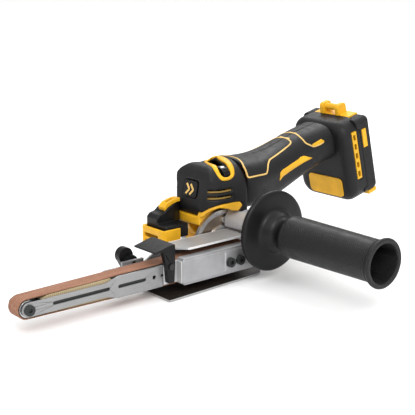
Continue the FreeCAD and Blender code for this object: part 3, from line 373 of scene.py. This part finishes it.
LOOK = {
    "housing": plastic("housing_plastic", BLACK, 0.46, 0.4, 0.035, 0.2),
    "overmould": plastic("overmould_rubber", SOFT_BLACK, 0.62, 0.7, 0.06, 0.3),
    "black": plastic("black_plastic", DEEP_BLACK, 0.4, 0.3, 0.02),
    "yellow": plastic("yellow_plastic", YELLOW, 0.38, 0.35, 0.02),
    "yellow_paint": plastic("yellow_casting_paint", YELLOW, 0.36, 0.6, 0.04, 0.5),
    "gold": plastic("pinstripe_gold", GOLD, 0.45, 0.3, 0.015, scuffs=False),
    "old_gold": plastic("vent_gold", (0.30, 0.19, 0.05), 0.45, 0.3, 0.015, scuffs=False),
    "cast": cast("cast_cover_aluminium", CAST_GREY),
    "boss": cast("boss_aluminium", (0.47, 0.47, 0.48), 0.42, 0.35),
    "disc": turned_disc("turned_collar", at(COLLAR_X, 0, COLLAR_Z)),
    "guard": guard_sheet(),
    "bracket": brushed("bracket_sheet", (0.55, 0.55, 0.55), 0.42, metallic=0.45),
    "plate": brushed("arm_plate_steel", (0.33, 0.33, 0.335), 0.46, metallic=0.75),
    "steel": brushed("machined_steel", STEEL, 0.28, (1, 12, 1)),
    "screw": brushed("plated_screw", BRIGHT, 0.2, (1, 1, 1), 0.006),
    "blackened": brushed("blackened_steel", (0.020, 0.022, 0.022), 0.42, (10, 1, 1), 0.01, 0.3),
    "grit": grit_belt(),
    "backing": woven("belt_backing_cloth", CLOTH, 0.7),
    "pad": woven("pad_facing_cloth", (0.50, 0.40, 0.24), 1.6),
    "grip": pimpled_rubber("pimpled_grip_rubber", at(HANDLE_X, 0, HANDLE_Z), 16.5),
    "copper": brushed("winding_copper", (0.62, 0.30, 0.16), 0.35, (1, 1, 1)),
    "board": plastic("circuit_board", (0.03, 0.16, 0.07), 0.3),
    "white": plastic("dial_mark_white", (0.82, 0.82, 0.80), 0.4, scuffs=False),
    "floor": floor_paper(),
}


# ---- mesh building blocks ------------------------------------------------------------------------
def put_in_scene(thing):
    bpy.context.scene.collection.objects.link(thing)


def shade(piece, look):
    """Gives a piece one material and smooth faces."""
    piece.data.materials.clear()
    piece.data.materials.append(LOOK[look])
    for polygon in piece.data.polygons:
        polygon.use_smooth = True


def finish_piece(piece, body, look, slot, *nodes):
    """Gives a new piece its material and its body, and lets it stand for CAD nodes; the slot argument is not
    used.
    """
    shade(piece, look)
    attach(piece, body)
    if nodes:
        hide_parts(*nodes)


def new_object(name, vertices, faces):
    """Mesh object from points in millimetres."""
    mesh = bpy.data.meshes.new(name)
    mesh.from_pydata([at(*v) for v in vertices], [], faces)
    mesh.update()
    piece = bpy.data.objects.new(name, mesh)
    put_in_scene(piece)
    cleaner = bmesh.new()
    cleaner.from_mesh(mesh)
    bmesh.ops.recalc_face_normals(cleaner, faces=cleaner.faces)
    cleaner.to_mesh(mesh)
    cleaner.free()
    return piece


def tube_faces(rings, around, closed=False):
    """Faces that join rings of equal length, with an end cap on each end unless the rings run in a circle."""
    faces = []
    for ring in range(rings if closed else rings - 1):
        low = ring * around
        high = ((ring + 1) % rings) * around
        for step in range(around):
            following = (step + 1) % around
            faces.append((low + step, low + following, high + following, high + step))
    if not closed:
        faces.append(tuple(range(around)))
        faces.append(tuple((rings - 1) * around + step for step in range(around)))
    return faces


def smooth_profile(points, steps=6):
    """Points of a curve that passes through the given points (Catmull-Rom)."""
    curve = []
    for index in range(len(points) - 1):
        before = points[max(index - 1, 0)]
        start = points[index]
        end = points[index + 1]
        after = points[min(index + 2, len(points) - 1)]
        for step in range(steps):
            t = step / steps
            curve.append(tuple(0.5 * (2 * b + (c - a) * t + (2 * a - 5 * b + 4 * c - d) * t * t
                                      + (3 * b - a - 3 * c + d) * t ** 3)
                               for a, b, c, d in zip(before, start, end, after)))
    curve.append(points[-1])
    return curve


def lathe_y(name, profile, x, z, around=128):
    """Turned piece about a line along Y, from (y, radius) points."""
    vertices = []
    for y, radius in profile:
        for step in range(around):
            angle = 2 * math.pi * step / around
            vertices.append((x + radius * math.cos(angle), y, z + radius * math.sin(angle)))
    return new_object(name, vertices, tube_faces(len(profile), around))


def add_bevel(piece, width_mm, segments=2):
    modifier = piece.modifiers.new("edges", "BEVEL")
    modifier.width = width_mm * MM
    modifier.segments = segments
    modifier.limit_method = "ANGLE"
    modifier.angle_limit = SHARP_ANGLE
    modifier.harden_normals = False
    normals = piece.modifiers.new("normals", "WEIGHTED_NORMAL")
    normals.keep_sharp = True


def kept_node(node, look):
    """CAD node with a material, its facets welded together."""
    piece = NODE[node]
    shade(piece, look)
    weld = piece.modifiers.new("weld", "WELD")
    weld.merge_threshold = WELD_MM * MM
    return piece


def dress(node, look, bevel_mm=0.0, segments=2):
    """Keeps a CAD node with its sharp edges bevelled, or shaded as sharp where no bevel is given."""
    piece = kept_node(node, look)
    if bevel_mm:
        add_bevel(piece, bevel_mm, segments)
    else:
        split = piece.modifiers.new("split", "EDGE_SPLIT")
        split.split_angle = SHARP_ANGLE


def soften(node, look, voxel_mm, passes):
    """Keeps a CAD node and melts its edges into moulded roundings."""
    piece = kept_node(node, look)
    remesh = piece.modifiers.new("remesh", "REMESH")
    remesh.mode = "VOXEL"
    remesh.voxel_size = voxel_mm * MM
    remesh.use_smooth_shade = True
    smooth = piece.modifiers.new("smooth", "SMOOTH")
    smooth.factor = 0.5
    smooth.iterations = passes


# ---- head, handle and foot -----------------------------------------------------------------------
def body_shells():
    soften("head_cover", "housing", 0.45, 90)
    for node in ("handle_shell_left", "handle_shell_right"):
        soften(node, "housing", 0.6, 5)
    soften("foot_shell", "housing", 0.6, 12)
    soften("cheeks", "overmould", 0.6, 6)
    soften("trigger_paddle", "black", 0.45, 6)
    soften("lanyard_bridge", "yellow", 0.4, 5)
    soften("gear_case", "yellow_paint", 0.5, 14)
    dress("speed_dial", "black", 0.2)
    dress("nose_plate", "black", 0.3)
    dress("foot_trim", "yellow", 0.25)
    dress("label_plate", "yellow", 0.3)
    dress("battery_rails", "housing", 0.4)
    dress("terminal_block", "black", 0.2)
    dress("gear_case_cover", "cast", 0.6)
    dress("case_screws", "screw", 0.25)
    dress("collar_plate", "disc", 0.4)
    soften("handle_boss", "boss", 0.45, 4)
    soften("dust_duct", "black", 0.5, 5)
    soften("duct_collar", "yellow", 0.45, 4)


class Skin:
    """The finished outside of some pieces, to lay thin trims on."""

    def __init__(self, *nodes):
        bpy.context.view_layer.update()
        shapes = bpy.context.evaluated_depsgraph_get()
        corners = []
        faces = []
        for node in nodes:
            piece = NODE[node].evaluated_get(shapes)
            mesh = piece.to_mesh()
            start = len(corners)
            corners.extend(piece.matrix_world @ vertex.co for vertex in mesh.vertices)
            faces.extend([start + index for index in polygon.vertices] for polygon in mesh.polygons)
            piece.to_mesh_clear()
        self.tree = BVHTree.FromPolygons(corners, faces)

    def nearest(self, point):
        """Nearest point of the outside in millimetres, with its outward direction."""
        place, normal, _, _ = self.tree.find_nearest(at(*point))
        outward = Vector((0.0, point[1] - BODY_Y, max(point[2] - SHELL_MIDDLE_Z, 0.0)))
        if point[0] < SHELL_FRONT_X and normal.dot(outward) < 0:
            normal = -normal
        return away(place), normal


def resampled(points, count):
    """This many points at equal distances along a line of points."""
    points = [Vector(point) for point in points]
    lengths = [0.0]
    for first, second in zip(points, points[1:]):
        lengths.append(lengths[-1] + (second - first).length)
    line = []
    for step in range(count):
        goal = lengths[-1] * step / (count - 1)
        index = next(i for i in range(1, len(points)) if lengths[i] >= goal - 1e-9)
        share = (goal - lengths[index - 1]) / (lengths[index] - lengths[index - 1])
        line.append(points[index - 1].lerp(points[index], share))
    return line


def closed_line(points, count, passes=3):
    """This many points round a closed line of points, with its corners averaged out."""
    line = resampled(points + points[:1], count + 1)[:-1]
    for _ in range(passes):
        line = [(line[i - 1] + line[i] * 2 + line[(i + 1) % count]) / 4 for i in range(count)]
    return line


def mirrored(points):
    """The same points on the other side of the body's middle plane."""
    return [(x, 2 * BODY_Y - y, z) for x, y, z in points]


def calmed(centres, passes):
    """The same line with small kinks averaged out, places and directions alike."""
    for _ in range(passes):
        inner = []
        for before, here, after in zip(centres, centres[1:], centres[2:]):
            place = (before[0] + here[0] * 2 + after[0]) / 4
            normal = (before[1] + here[1] * 2 + after[1]).normalized()
            inner.append((place, normal))
        centres = [centres[0]] + inner + [centres[-1]]
    return centres


def stripe(name, skin, guide, width_mm, look, slot, height_mm=0.35, spacing_mm=0.8):
    """Raised line that follows the guide points over the skin."""
    top_share = 0.8
    points = [Vector(point) for point in guide]
    length = sum((b - a).length for a, b in zip(points, points[1:]))
    line = resampled(guide, max(int(length / spacing_mm), 4))
    centres = calmed([skin.nearest(point) for point in line], 4)
    vertices = []
    for index, (centre, normal) in enumerate(centres):
        before = centres[max(index - 1, 0)][0]
        after = centres[min(index + 1, len(centres) - 1)][0]
        aside = normal.cross((after - before).normalized()).normalized() * width_mm / 2
        vertices.append(centre - aside - normal * TRIM_SINK)
        vertices.append(centre - aside * top_share + normal * height_mm)
        vertices.append(centre + aside * top_share + normal * height_mm)
        vertices.append(centre + aside - normal * TRIM_SINK)
    piece = new_object(name, vertices, tube_faces(len(centres), 4))
    add_bevel(piece, 0.12)
    finish_piece(piece, "body", look, slot)


def patch(name, skin, upper, lower, look, slot, height_mm=0.5, count=28, across=7):
    """Raised field between two lines of guide points, which meet or nearly meet at both ends."""
    vertices = []
    for high, low in zip(resampled(upper, count), resampled(lower, count)):
        for step in range(across):
            centre, normal = skin.nearest(low.lerp(high, step / (across - 1)))
            lift = -TRIM_SINK if step in (0, across - 1) else height_mm
            vertices.append(centre + normal * lift)
    piece = new_object(name, vertices, tube_faces(count, across))
    finish_piece(piece, "body", look, slot)


# Guide points on the outside of the body. Stripes, capsule, badge and ring are drawn once, on the side
# handle's side, and mirrored() gives the other side.
STRIPE_LONG = [
    (-20.5, -30.5, 74.0), (-19.3, -21.0, 73.6), (-16.3, -11.5, 71.0), (-13.6, -6.4, 67.2),
    (-12.6, -4.3, 63.6), (-15.5, -3.6, 60.1), (-37.8, -5.1, 60.0), (-40.6, -6.6, 63.5),
    (-43.0, -9.2, 66.6), (-47.9, -12.7, 69.4), (-77.1, -17.6, 78.4), (-79.8, -19.6, 79.9),
    (-81.1, -26.3, 81.6), (-82.3, -36.0, 82.0),
]
STRIPE_REAR = [
    (-92.2, -34.0, 85.0), (-91.7, -26.5, 84.9), (-90.0, -18.2, 82.3), (-90.8, -13.0, 78.0),
    (-98.4, -10.0, 74.5), (-106.1, -9.5, 75.9), (-110.3, -9.5, 77.4),
]
CAPSULE_TOP = [
    (-97.2, -10.4, 75.8), (-97.4, -11.0, 77.0), (-108.0, -10.8, 80.4), (-110.6, -9.9, 78.9),
    (-110.6, -9.7, 77.8),
]
CAPSULE_LOW = [
    (-97.2, -10.4, 75.8), (-98.8, -10.0, 74.6), (-106.1, -9.5, 76.0), (-110.3, -9.5, 77.2),
    (-110.6, -9.7, 77.8),
]
BADGE_TOP = [
    (-55.8, -8.1, 51.1), (-55.7, -7.8, 58.0), (-58.7, -8.4, 60.0), (-64.0, -8.9, 61.4),
    (-79.3, -9.9, 66.2), (-82.1, -10.1, 68.0), (-86.2, -9.9, 68.6), (-96.5, -10.0, 65.2),
]
BADGE_LOW = [
    (-55.8, -8.1, 51.1), (-60.6, -8.7, 53.4), (-89.4, -10.1, 62.5), (-93.6, -10.1, 63.6),
    (-96.5, -10.0, 65.2),
]
FOOT_RING = [
    (-112.0, -40.0, 89.5), (-111.4, -30.0, 89.6), (-110.2, -24.7, 89.2), (-109.0, -15.8, 86.1),
    (-110.8, -11.5, 82.4),
]
BEZEL_OUTER = [
    (-16.0, -42.0, 72.0), (-14.0, -33.1, 73.4), (-11.1, -23.4, 73.0), (-9.2, -17.0, 71.0),
    (-7.6, -12.6, 68.2), (-5.8, -9.6, 65.4), (-3.4, -7.4, 62.4), (1.5, -6.2, 60.5),
    (7.0, -6.0, 60.2), (11.6, -6.4, 61.0), (13.4, -8.8, 64.6), (13.5, -13.0, 68.5),
    (11.8, -20.0, 71.0), (9.0, -27.0, 71.2), (3.7, -36.0, 70.3), (0.5, -42.0, 69.8),
]
BEZEL_INNER = [
    (-9.6, -39.5, 71.0), (-7.1, -31.5, 72.5), (-4.9, -24.5, 72.3), (-3.5, -19.0, 71.0),
    (-2.0, -13.5, 68.6), (-1.5, -10.5, 66.0), (-0.6, -8.2, 63.6), (3.0, -7.5, 62.6),
    (7.0, -7.4, 62.5), (9.6, -8.4, 63.8), (9.8, -10.5, 66.5), (9.0, -13.5, 68.6),
    (7.2, -19.5, 70.6), (5.0, -25.0, 71.0), (1.9, -33.5, 70.5), (-0.5, -39.5, 70.0),
]
CHEVRON = [
    (26.4, -35.0, 56.6), (27.0, -31.0, 52.4), (27.2, -35.0, 48.2),
]


def trims():
    """Gold lines, plain yellow fields, a fine black bead behind the handle, and two chevrons in front."""
    chevron_pitch = 5.0
    skin = Skin("head_cover", "handle_shell_left", "handle_shell_right", "foot_shell")
    for side, place in (("left", list), ("right", mirrored)):
        stripe("pinstripe_long_" + side, skin, place(STRIPE_LONG), 1.5, "gold", "yellow_plastic")
        stripe("pinstripe_rear_" + side, skin, place(STRIPE_REAR), 1.5, "gold", "yellow_plastic")
        stripe("foot_ring_" + side, skin, place(FOOT_RING), 0.7, "black", "black_plastic", 0.1)
        patch("capsule_" + side, skin, place(CAPSULE_TOP), place(CAPSULE_LOW), "yellow", "yellow_plastic")
        patch("side_badge_" + side, skin, place(BADGE_TOP), place(BADGE_LOW), "yellow", "yellow_plastic")
    plate = Skin("nose_plate")
    for step in range(2):
        shifted = [(x, y + chevron_pitch * step, z) for x, y, z in CHEVRON]
        stripe("front_mark_%d" % step, plate, shifted, 2.0, "gold", "yellow_plastic", 0.3, 0.5)


def dial_frame():
    """Rounded frame round the dial's window, laid on the head's shoulder."""
    skin = Skin("head_cover")
    count = 96
    # Cross-section: share of the way from the outer to the inner outline, and millimetres above the skin.
    section = ((0.0, -0.5), (0.06, 0.5), (0.25, 1.0), (0.6, 1.15), (0.9, 0.9), (1.0, 0.4), (1.0, -1.0))
    vertices = []
    for outer, inner in zip(closed_line(BEZEL_OUTER, count), closed_line(BEZEL_INNER, count)):
        edge, _ = skin.nearest(outer)
        middle, normal = skin.nearest(outer.lerp(inner, 0.5))
        for share, lift in section:
            vertices.append(edge + (middle - edge) * 2 * share + normal * lift)
    piece = new_object("dial_frame", vertices, tube_faces(count, len(section), closed=True))
    finish_piece(piece, "body", "yellow", "yellow_plastic", "dial_bezel")


def vent_slats():
    """Gilded strips behind the lower half of the head's slots, bent round its front corner."""
    rear_x = 1.8
    corner_x = 9.0
    corner_y = -21.0
    reach = 15.9
    bend_points = 9
    degrees_per_point = 7.5
    tall = 1.4
    thick = 0.6
    row_heights = (46.1, 51.5)
    line = [(rear_x, corner_y + reach)]
    for step in range(bend_points):
        angle = math.radians(degrees_per_point * step)
        line.append((corner_x + reach * math.sin(angle), corner_y + reach * math.cos(angle)))
    for side, sign in (("left", 1), ("right", -1)):
        for row, low in enumerate(row_heights):
            high = low + tall
            vertices = []
            for x, y in line:
                outer = BODY_Y + sign * (y - BODY_Y)
                inner = outer - sign * thick
                vertices.extend([(x, outer, low), (x, outer, high), (x, inner, high), (x, inner, low)])
            slat = new_object("vent_slat_%s_%d" % (side, row), vertices, tube_faces(len(line), 4))
            add_bevel(slat, 0.1)
            finish_piece(slat, "body", "old_gold", "yellow_plastic")


def dial_mark():
    """White square on the wheel's rim."""
    half_width = 1.6
    proud = 0.15
    thick = 0.8
    first_turn = 68
    last_turn = 82
    low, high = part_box("speed_dial")
    outer = (high[2] - low[2]) / 2 / MM + proud
    inner = outer - thick
    corners = ((first_turn, outer), (last_turn, outer), (last_turn, inner), (first_turn, inner))
    vertices = []
    for x in (DIAL_X - half_width, DIAL_X + half_width):
        for turn, reach in corners:
            angle = math.radians(turn)
            vertices.append((x, DIAL_Y + reach * math.cos(angle), DIAL_Z + reach * math.sin(angle)))
    mark = new_object("dial_mark", vertices, tube_faces(2, 4))
    add_bevel(mark, 0.15)
    finish_piece(mark, "dial", "white", "black_plastic")


def hidden_parts():
    """Everything inside the shells, seen only through gaps."""
    for node, look in (("stator", "copper"), ("rotor", "steel"), ("motor_shaft", "steel"),
                       ("cooling_fan", "black"), ("shaft_bearings", "screw"), ("motor_frame", "black"),
                       ("bevel_pinion", "steel"), ("bevel_gear", "steel"), ("cross_shaft", "steel"),
                       ("cross_gear", "steel"), ("idler_gear", "steel"), ("idler_pin", "steel"),
                       ("output_gear", "steel"), ("output_shaft", "steel"), ("drive_pulley", "overmould"),
                       ("switch_module", "black"), ("control_board", "board")):
        dress(node, look)


# ---- arm -----------------------------------------------------------------------------------------
def arc(centre_x, radius, start, sweep, steps=28):
    """Points (x, z) on part of a circle about (centre_x, 0), turning backwards from the start angle."""
    points = []
    for step in range(steps + 1):
        angle = start - sweep * step / steps
        points.append((centre_x + radius * math.cos(angle), radius * math.sin(angle)))
    return points


def run_between(start, end, steps=40):
    """Points on the straight line between two points, without the two."""
    points = []
    for step in range(1, steps):
        t = step / steps
        points.append((start[0] + (end[0] - start[0]) * t, start[1] + (end[1] - start[1]) * t))
    return points


def belt_path(offset):
    """Closed line of (x, z) points round the drive pulley and the nose roller."""
    _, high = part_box("sanding_belt")
    big = away(high).z - BELT_THICK + offset
    small = away(high).x - NOSE_X - BELT_THICK + offset
    lean = math.asin((big - small) / NOSE_X)
    nose = arc(NOSE_X, small, math.pi / 2 - lean, math.pi - 2 * lean)
    pulley = arc(0.0, big, -math.pi / 2 + lean, math.pi + 2 * lean)
    return nose + run_between(nose[-1], pulley[0]) + pulley + run_between(pulley[-1], nose[0])


def sanding_belt():
    """Belt with an abrasive outside, a cloth inside and slightly frayed edges."""
    fray = random.Random(4)
    fray_mm = 0.07
    edge_drop = 0.25
    edge_zone = 6.3
    widths = (-6.5, -6.2, -3.0, 0.0, 3.0, 6.2, 6.5)
    outside = belt_path(BELT_THICK)
    inside = belt_path(BELT_GAP)
    vertices = []
    for outer, inner in zip(outside, inside):
        edge = fray.uniform(-fray_mm, fray_mm)
        section = []
        for y in widths:
            drop = edge_drop if abs(y) > edge_zone else 0.0
            shift = edge if abs(y) > edge_zone else 0.0
            section.append((outer[0] + (inner[0] - outer[0]) * drop, y + shift,
                            outer[1] + (inner[1] - outer[1]) * drop))
        for y in reversed(widths):
            section.append((inner[0], y, inner[1]))
        vertices.extend(section)
    around = 2 * len(widths)
    belt = new_object("belt_loop", vertices, tube_faces(len(outside), around, closed=True))
    finish_piece(belt, "arm", "grit", "abrasive", "sanding_belt")
    belt.data.materials.append(LOOK["backing"])
    for polygon in belt.data.polygons:
        steps = {index % around for index in polygon.vertices}
        if min(steps) >= len(widths):
            polygon.material_index = 1


def arm_parts():
    dress("arm_plate_left", "plate", 0.25)
    dress("arm_plate_right", "plate", 0.25)
    dress("arm_core", "blackened", 0.3)
    dress("upper_pad", "pad", 0.2)
    dress("lower_pad", "pad", 0.2)
    dress("idler_roller", "steel", 0.2)
    dress("idler_axle", "blackened", 0.25)
    dress("arm_sleeve", "blackened", 0.3)
    dress("tension_spring", "steel")
    dress("guard_channel", "guard", 0.45, 3)
    soften("arm_cover", "cast", 0.4, 4)
    dress("cover_bolts", "blackened", 0.25)
    dress("lever_bracket", "bracket", 0.3)
    dress("lever_pin", "blackened", 0.2)
    dress("release_lever", "black", 0.4)
    dress("tracking_block", "plate", 0.3)
    dress("tracking_knob", "black", 0.5)


# ---- side handle ---------------------------------------------------------------------------------
def side_handle():
    """Guard disc and rubber sleeve, each turned from (distance from the disc's face, radius) points."""
    start = away(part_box("handle_flange")[0]).y
    end = away(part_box("handle_grip")[1]).y - start
    flange = [(0.0, 6.0), (0.0, 30.5), (0.5, 32.2), (1.6, 33.0), (3.0, 32.7), (4.0, 31.2), (4.6, 28.0),
              (5.2, 23.0), (5.9, 19.4), (7.4, 17.3), (10.0, 16.0), (12.6, 14.6), (14.6, 13.0), (17.5, 12.6),
              (21.0, 13.4), (24.0, 15.8), (25.2, 16.2), (25.2, 12.0)]
    sleeve = [(25.2, 6.0), (25.2, 15.6), (26.2, 16.5), (29.0, 16.9), (60.0, 16.6), (end - 12.0, 16.2),
              (end - 8.0, 16.4), (end - 6.6, 16.9), (end - 5.6, 16.4), (end - 4.6, 17.0), (end - 3.0, 18.6),
              (end - 1.2, 19.0), (end - 0.1, 18.2), (end, 16.8), (end - 0.4, 15.4), (end - 2.5, 14.6),
              (end - 12.0, 13.6), (end - 37.0, 12.6), (end - 38.0, 11.0), (end - 38.0, 0.2)]
    flange = smooth_profile([(start + y, radius) for y, radius in flange])
    sleeve = smooth_profile([(start + y, radius) for y, radius in sleeve])
    piece = lathe_y("handle_guard_disc", flange, HANDLE_X, HANDLE_Z)
    finish_piece(piece, "side_handle", "black", "black_plastic", "handle_flange")
    piece = lathe_y("handle_sleeve", sleeve, HANDLE_X, HANDLE_Z)
    finish_piece(piece, "side_handle", "grip", "soft_grip", "handle_grip")
    dress("handle_stud", "steel", 0.3)
    dress("handle_washer", "steel", 0.3)


# ---- studio --------------------------------------------------------------------------------------
def area_light(name, place, target, size, watts):
    data = bpy.data.lights.new(name, "AREA")
    data.shape = "RECTANGLE"
    data.size = size[0]
    data.size_y = size[1]
    data.energy = watts
    lamp = bpy.data.objects.new(name, data)
    lamp.location = place
    lamp.rotation_mode = "QUATERNION"
    lamp.rotation_quaternion = (Vector(target) - Vector(place)).to_track_quat("-Z", "Y")
    put_in_scene(lamp)


def studio():
    """White floor in an evenly white world, with two lamps and a wide soft sun (lengths in metres)."""
    half = 14.0
    below = -0.0005
    white = (1.0, 1.0, 1.0, 1.0)
    corners = [(-half, -half, below), (half, -half, below), (half, half, below), (-half, half, below)]
    mesh = bpy.data.meshes.new("studio_floor")
    mesh.from_pydata(corners, [], [(0, 1, 2, 3)])
    floor = bpy.data.objects.new("studio_floor", mesh)
    mesh.materials.append(LOOK["floor"])
    put_in_scene(floor)
    world = bpy.data.worlds.new("studio_world")
    world.use_nodes = True
    background = world.node_tree.nodes["Background"]
    background.inputs["Color"].default_value = white
    background.inputs["Strength"].default_value = 0.58
    bpy.context.scene.world = world
    centre = (0.0, 0.0, 0.05)
    area_light("key", (0.5, 0.9, 1.0), centre, (0.7, 0.7), 9)
    area_light("rim", (-0.7, -0.6, 0.9), centre, (0.8, 0.5), 6)
    data = bpy.data.lights.new("soft_sun", "SUN")
    data.energy = 1.9
    data.angle = math.radians(110)
    sun = bpy.data.objects.new("soft_sun", data)
    sun.rotation_euler = (math.radians(-18), math.radians(14), 0)
    put_in_scene(sun)
    bpy.context.scene.view_settings.view_transform = "Standard"


def camera():
    """Looks from ahead of the nose, on the side handle's side and a little above."""
    azimuth = math.radians(140.1)
    height = math.radians(14.4)
    roll = math.radians(-0.2)
    flat = math.cos(height)
    back = Vector((math.sin(azimuth) * flat, -math.cos(azimuth) * flat, math.sin(height)))
    data = bpy.data.cameras.new("camera")
    data.lens = 86.75
    data.sensor_width = 36.0
    data.clip_start = 0.05
    data.clip_end = 50
    eye = bpy.data.objects.new("camera", data)
    eye.location = at(524.7, 590.1, 240.9)
    eye.rotation_mode = "QUATERNION"
    eye.rotation_quaternion = back.to_track_quat("Z", "Y") @ Matrix.Rotation(roll, 4, "Z").to_quaternion()
    put_in_scene(eye)
    bpy.context.scene.camera = eye


body_shells()
trims()
dial_frame()
vent_slats()
dial_mark()
hidden_parts()
sanding_belt()
arm_parts()
side_handle()
studio()
camera()
